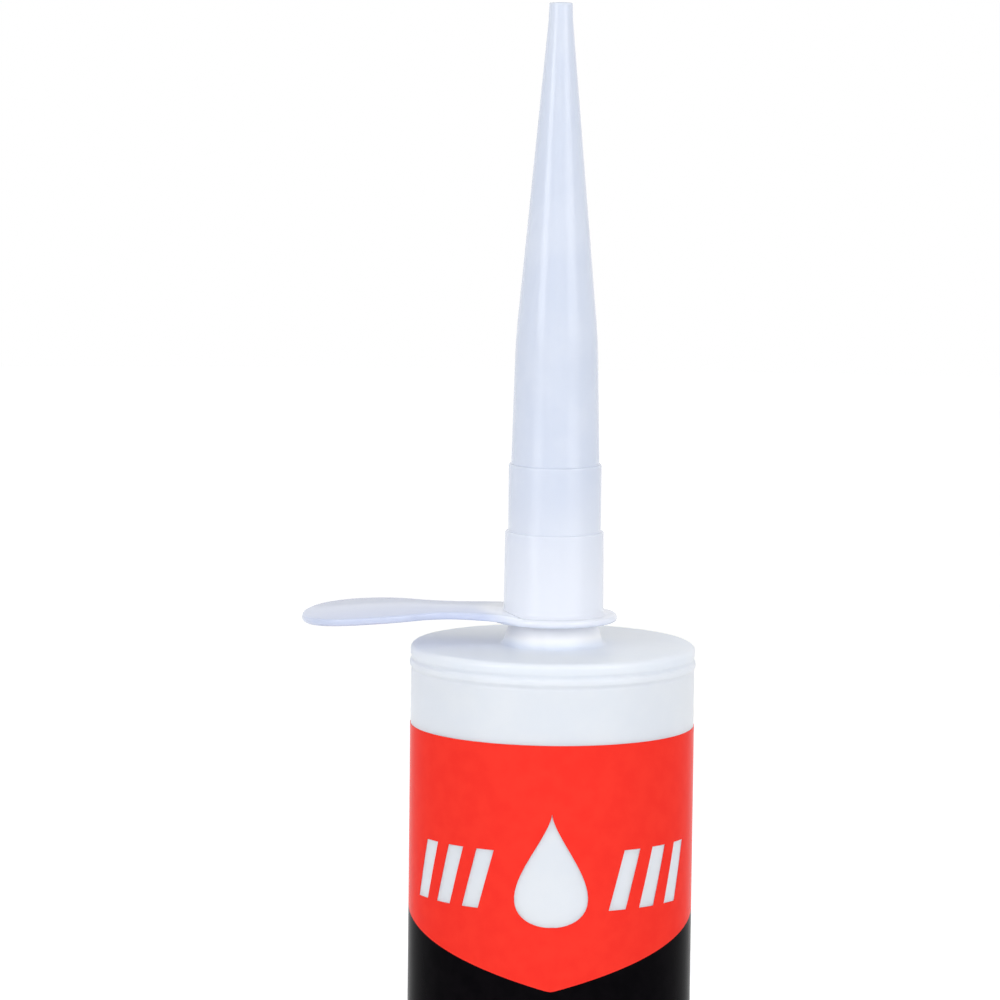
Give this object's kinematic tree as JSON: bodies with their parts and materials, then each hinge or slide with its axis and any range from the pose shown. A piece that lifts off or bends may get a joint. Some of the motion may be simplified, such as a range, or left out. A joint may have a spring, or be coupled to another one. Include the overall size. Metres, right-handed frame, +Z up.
{
  "type": "caulk tube",
  "caption": "Sealant cartridge: thin plastic barrel with a push-up piston, paste fill and a screw-on conical nozzle with a moulded spatula.",
  "frame": {"origin": "centre of the rear rim, where the barrel's axis meets the plane it stands on", "axes": "+Z up the barrel towards the nozzle, -Y the printed front, spatula along -X"},
  "size_m": [0.0696, 0.0506, 0.3279],
  "materials": {
    "barrel_plastic": "translucent natural polyethylene, soft sheen",
    "nozzle_plastic": "translucent natural polyethylene, soft sheen",
    "piston_plastic": "white polyethylene",
    "sealant_paste": "white sealant paste",
    "red_ink": "gloss red ink",
    "black_ink": "gloss black ink"
  },
  "bodies": {
    "barrel": {"barrel": "barrel_plastic", "sealant": "sealant_paste", "red_print": "red_ink", "black_print": "black_ink"},
    "nozzle": {"nozzle": "nozzle_plastic"},
    "piston": {"piston": "piston_plastic"}
  },
  "joints": [
    {"name": "nozzle_lift", "type": "slide", "parent": "barrel", "child": "nozzle", "axis": [0, 0, 1], "range_m": [0, 0.03]},
    {"name": "piston_push", "type": "slide", "parent": "barrel", "child": "piston", "axis": [0, 0, 1], "range_m": [0, 0.179], "deforming": ["sealant"]}
  ]
}
